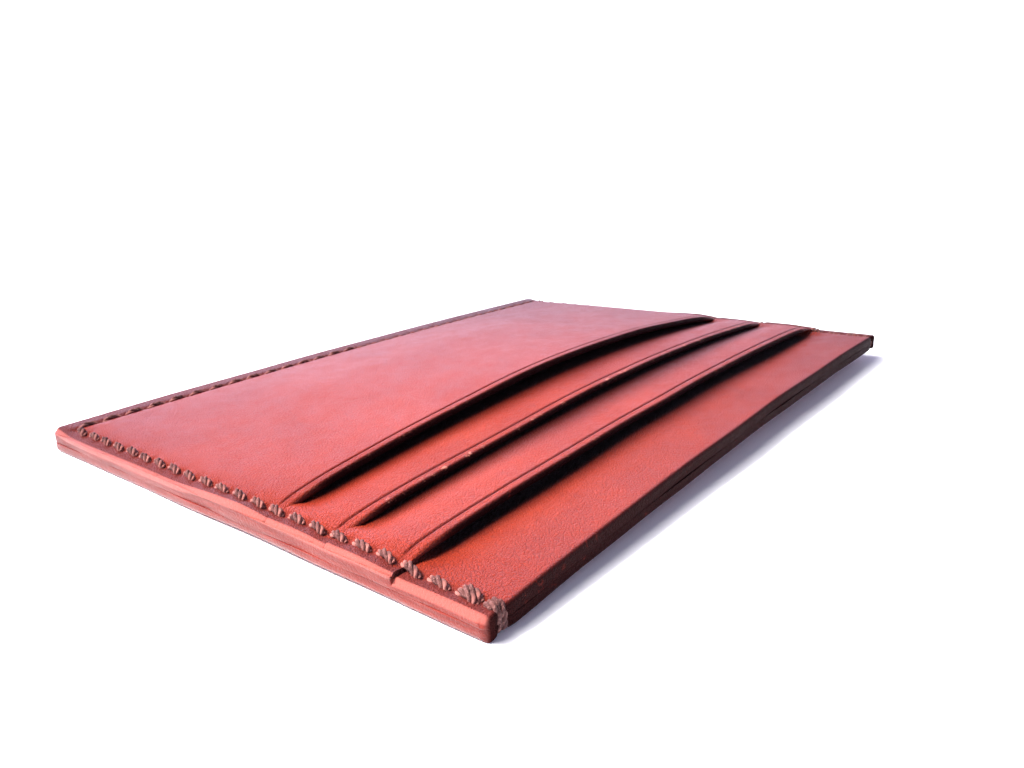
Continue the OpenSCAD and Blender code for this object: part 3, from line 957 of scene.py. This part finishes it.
def build_back_panel(material):
    def top(x, y):
        return PANEL - rounded(to_any_edge(x, y), *SHARP_EDGE)

    def low(x, y):
        groove = BACK_GROOVE * bell(to_seam(x, y), BACK_GROOVE_WIDTH)
        groove = groove + DENT * bell(to_hole(x, y), DENT_WIDTH)
        worn = BACK_WORN * bell(y - BACK_WORN_Y, BACK_WORN_WIDTH) * (1 - ease(0, 4, HALF_W - abs(x)))
        return rounded(to_any_edge(x, y), *BACK_EDGE) + groove + worn

    xs = side_lines(around(BOTTOM_HOLES[:, 0], BACK_HOLE_STEPS))
    rows = BOTTOM_LINES + around(RIGHT_HOLES[:, 1], BACK_HOLE_STEPS) + mouth_lines(HEIGHT)
    leather_sheet("back_panel", xs, merged(rows, 0, HEIGHT), top, low, HEIGHT, material, 21)


def build_front_panel(material):
    def top(x, y):
        side = HALF_W - abs(x)
        shown = ease(UPPER_MOUTH - 0.25, UPPER_MOUTH + 0.1, y)
        drop = (sewn(x, y) + bevel(side, RIM_WIDTH, PANEL_RIM_HEIGHT)) * shown
        drop = drop + rounded(side, *SHARP_EDGE) * (1 - shown)
        pressed = PANEL_PRESSED * ease(8, 32, abs(x)) * between_seams(x)
        below = ease(UPPER_MOUTH - PRESSED_BELOW, UPPER_MOUTH, y)
        above = ease(UPPER_MOUTH + PRESSED_ABOVE, UPPER_MOUTH, y)
        corner = np.minimum(to_far_corner(x, y), HEIGHT - y)
        drop = drop + pressed * below * above + rounded(corner, *CORNER_EDGE)
        return front_panel_low(x, y) + PANEL - drop

    def low(x, y):
        return front_panel_low(x, y) + rounded(to_any_edge(x, y), *SHARP_EDGE)

    lines = BOTTOM_LINES + [y for y in HOLE_LINES if y > UPPER_MOUTH - 4]
    lines += mouth_lines(HEIGHT) + list(np.arange(6, 60, 2.4))
    lines += [UPPER_MOUTH + s for s in (-0.3, -0.15, 0, 0.1, 0.3)]
    ys = merged(lines, 0, HEIGHT)
    leather_sheet("front_panel", PLAIN_X, ys, top, low, HEIGHT, material, 22, UPPER_MOUTH)


def to_far_corner(x, y):
    """Distance to the round corners at the mouth edge, or a large number away from them."""
    a, b = CORNER - (HALF_W - abs(x)), CORNER - (HEIGHT - y)
    inside = (a > 0) & (b > 0)
    return np.where(inside, CORNER - np.hypot(np.clip(a, 0, None), np.clip(b, 0, None)), 9.0)


def build_tee(node, foot, mouth, ear_foot, low_face, tongue_face, material, seed):
    """A T-shaped pocket: two ears in the side seams and a tongue under the next pocket."""

    def thick(x, y):
        pared = np.clip(tongue_face(x, y), THINNEST, TEE)
        covered = between_seams(x) * (1 - ease(ear_foot, ear_foot + EAR_THICKENS, y))
        above = TEE - (TEE - pared) * covered
        return np.where(y > ear_foot - 0.01, above, pared)

    def top(x, y):
        side = HALF_W - abs(x)
        shown = ease(ear_foot - 0.3, ear_foot, y)
        drop = (sewn(x, y) + bevel(side, RIM_WIDTH, RIM_HEIGHT)) * shown + lip_end(x, mouth - y)
        ear_end = rounded(y - ear_foot, *EAR_EDGE) * ease(SEAM_X - 1, SEAM_X, abs(x)) * shown
        return low_face(x, y) + thick(x, y) - drop - mouth_top(x, mouth - y) - ear_end

    def low(x, y):
        return low_face(x, y) + mouth_low(x, mouth - y)

    def keep(x, y):
        return (abs(x) < TONGUE_HALF) | (y > ear_foot)

    lines = [y for y in HOLE_LINES if y > ear_foot - 3] + mouth_lines(mouth)
    lines += list(np.arange(foot + 0.6, ear_foot - 1, 1.3))
    lines += [ear_foot + s for s in (-0.3, 0, 0.04, 0.1, 0.2, 0.4, 0.8)]
    ys = merged(lines, foot, mouth)
    ys[np.argmin(abs(ys - ear_foot))] = ear_foot
    xs = PLAIN_X.copy()
    xs[np.argmin(abs(xs - TONGUE_HALF))] = TONGUE_HALF
    xs[np.argmin(abs(xs + TONGUE_HALF))] = -TONGUE_HALF
    leather_sheet(node, xs, ys, top, low, mouth, material, seed, ear_foot, keep)


def build_front_pocket(material):
    def top(x, y):
        edge = to_outline(x, y)
        soft = SOFT_WAVE * waves(x + 0.6 * y, 31, 30) * ease(4, 14, edge)
        drop = sewn(x, y) + bevel(edge, RIM_WIDTH, RIM_HEIGHT) + lip_end(x, FRONT_MOUTH - y)
        return front_low(x, y) + FRONT + soft - drop - mouth_top(x, FRONT_MOUTH - y)

    def low(x, y):
        return front_low(x, y) + mouth_low(x, FRONT_MOUTH - y)

    lines = BOTTOM_LINES + [y for y in HOLE_LINES if y < FRONT_MOUTH] + mouth_lines(FRONT_MOUTH)
    ys = merged(lines, 0, FRONT_MOUTH)
    leather_sheet("front_pocket", DENSE_X, ys, top, low, FRONT_MOUTH, material, 24)


def build_threads(material):
    rng = np.random.default_rng(7)
    ropes = {"outer_seam_thread": outer_seam_ropes(rng)}
    for node, seam, top in (
        ("upper_pocket_thread", UPPER_FOOT + HEM, lambda x, y: upper_low(x, y) + upper_tongue(x, y)),
        ("middle_pocket_thread", MIDDLE_FOOT + HEM, lambda x, y: middle_low(x, y) + middle_tongue(x, y)),
    ):
        ropes[node] = tongue_seam_ropes(seam, top, rng)
    for node, (points, faces, beads) in ropes.items():
        piece = new_mesh_object(node.replace("_thread", "_twisted_thread"), points, faces, material)
        mark(piece, "bead", beads)
        add_to_frame(piece, node)


# ---------------------------------------------------------------- stage


def aimed(direction, distance, target=(0.0, 0.0, 0.0)):
    """Matrix of a camera or lamp at this distance from target, looking back at it."""
    back = Vector(direction).normalized()
    matrix = (-back).to_track_quat("-Z", "Y").to_matrix().to_4x4()
    matrix.translation = Vector(target) + back * distance
    return matrix


# The photo's view, from a perspective solve of the holder's edges: angles in degrees, then mm
CAMERA_AZIMUTH, CAMERA_ELEVATION, CAMERA_ROLL = 128.907, 16.677, -1.711
CAMERA_TARGET, CAMERA_DISTANCE = (-4.96, -4.95, 0), 128.39
CAMERA_LENS = 29.17
FLOOR_HALF = 12.0
FLOOR_DARK, FLOOR_LIGHT = (0.86, 0.86, 0.9), (0.88, 0.88, 0.92)
SKY_COLOUR = (0.92, 0.9, 1.28, 1)
# The sky's strength is a product of two smooth steps. Each has its direction, the two places along it
# between which it changes, and its level at each
SKY_STEPS = (((-0.3, -0.95, 0), (0.4, 0.82, 0.3, 1.0)), ((0, 0, 1), (0.2, 0.57, 3.9, 0.07)))
WARM, COOL = (1, 0.98, 0.96), (0.9, 0.88, 1.14)
# Where the lamps stand: the window and its bright patch, and the weak fill from the camera's side
WINDOW, FILL = (0.3, -0.56, 0.8), (0.3, 0.6, 0.75)
WINDOW_STRENGTH, SPOT_POWER, FILL_STRENGTH = 7.7, 54, 0.6
WINDOW_ANGLE, SPOT_ANGLE, FILL_ANGLE = math.radians(54), math.radians(21), math.radians(90)
SPOT_DISTANCE, SPOT_TARGET = 0.4, (0.03, 0.026, 0.003)


def make_camera():
    azimuth, elevation, roll = (math.radians(a) for a in (CAMERA_AZIMUTH, CAMERA_ELEVATION, CAMERA_ROLL))
    back = Vector((
        math.sin(azimuth) * math.cos(elevation), -math.cos(azimuth) * math.cos(elevation), math.sin(elevation)
    ))
    right = (-back).cross(Vector((0, 0, 1))).normalized()
    up = right.cross(-back)
    turned_right = right * math.cos(roll) + up * math.sin(roll)
    turned_up = up * math.cos(roll) - right * math.sin(roll)
    data = bpy.data.cameras.new("camera")
    data.sensor_width = 36
    data.lens = CAMERA_LENS
    data.clip_start = 0.002
    camera = bpy.data.objects.new("camera", data)
    matrix = Matrix((turned_right, turned_up, back)).transposed().to_4x4()
    matrix.translation = Vector(CAMERA_TARGET) * MM + back * (CAMERA_DISTANCE * MM)
    camera.matrix_world = matrix
    bpy.context.scene.collection.objects.link(camera)
    bpy.context.scene.camera = camera


def add_lamp(name, kind, matrix, strength, colour, **settings):
    """A soft light that shows in no reflection, so that the gloss comes from the sky alone."""
    data = bpy.data.lights.new(name, kind)
    data.energy = strength
    data.color = colour
    for key, value in settings.items():
        setattr(data, key, value)
    lamp = bpy.data.objects.new(name, data)
    lamp.matrix_world = matrix
    lamp.visible_glossy = False
    bpy.context.scene.collection.objects.link(lamp)


def make_floor():
    mesh = bpy.data.meshes.new("floor")
    signs = ((-1, -1), (1, -1), (1, 1), (-1, 1))
    mesh.from_pydata([(a * FLOOR_HALF, b * FLOOR_HALF, 0) for a, b in signs], [], [(0, 1, 2, 3)])
    n = Nodes("pale_floor")
    colour = n.mix(n.noise(n.millimetres(), 0.02, 2), FLOOR_DARK, FLOOR_LIGHT)
    n.put(n.shader.inputs["Base Color"], colour)
    n.shader.inputs["Roughness"].default_value = 0.6
    mesh.materials.append(n.material)
    floor = bpy.data.objects.new("floor", mesh)
    bpy.context.scene.collection.objects.link(floor)


def make_world():
    """Soft sky, slightly violet: bright beyond the sewn edge and low down, and dark behind the camera."""
    world = bpy.data.worlds.new("studio")
    world.use_nodes = True
    bpy.context.scene.world = world
    tree = world.node_tree
    background = tree.nodes["Background"]
    coordinate = tree.nodes.new("ShaderNodeTexCoord")
    ramps = []
    for towards, levels in SKY_STEPS:
        dot = tree.nodes.new("ShaderNodeVectorMath")
        dot.operation = "DOT_PRODUCT"
        tree.links.new(coordinate.outputs["Generated"], dot.inputs[0])
        dot.inputs[1].default_value = towards
        ramp = tree.nodes.new("ShaderNodeMapRange")
        ramp.interpolation_type = "SMOOTHSTEP"
        for key, value in zip(("From Min", "From Max", "To Min", "To Max"), levels):
            ramp.inputs[key].default_value = value
        tree.links.new(dot.outputs["Value"], ramp.inputs["Value"])
        ramps.append(ramp)
    both = tree.nodes.new("ShaderNodeMath")
    both.operation = "MULTIPLY"
    for socket, ramp in zip(both.inputs, ramps):
        tree.links.new(ramp.outputs["Result"], socket)
    tree.links.new(both.outputs[0], background.inputs["Strength"])
    background.inputs["Color"].default_value = SKY_COLOUR


def make_stage():
    make_camera()
    make_floor()
    make_world()
    add_lamp("window", "SUN", aimed(WINDOW, 1), WINDOW_STRENGTH, WARM, angle=WINDOW_ANGLE)
    spot = aimed(WINDOW, SPOT_DISTANCE, SPOT_TARGET)
    cone = {"spot_size": SPOT_ANGLE, "spot_blend": 1, "shadow_soft_size": 0.06}
    add_lamp("window_spot", "SPOT", spot, SPOT_POWER, WARM, **cone)
    add_lamp("fill", "SUN", aimed(FILL, 1), FILL_STRENGTH, COOL, angle=FILL_ANGLE)
    bpy.context.scene.view_settings.view_transform = "Standard"


def main():
    make_stage()
    # The front panel's leather is painted 6 % darker and both T-pockets' 8 % lighter, as painted shade and
    # light
    build_back_panel(leather("back_leather", (3, 11, 0)))
    build_front_panel(leather("front_panel_leather", (57, 23, 8), 0.94))
    build_tee(
        "upper_pocket", UPPER_FOOT, UPPER_MOUTH, MIDDLE_MOUTH, upper_low, upper_tongue,
        leather("upper_leather", (91, -40, 3), 1.08), 25
    )
    build_tee(
        "middle_pocket", MIDDLE_FOOT, MIDDLE_MOUTH, FRONT_MOUTH, middle_low, middle_tongue,
        leather("middle_leather", (-77, 64, 5), 1.08, 0.85), 26
    )
    build_front_pocket(leather("front_leather", (19, -7, 2)))
    build_threads(thread_material())


main()
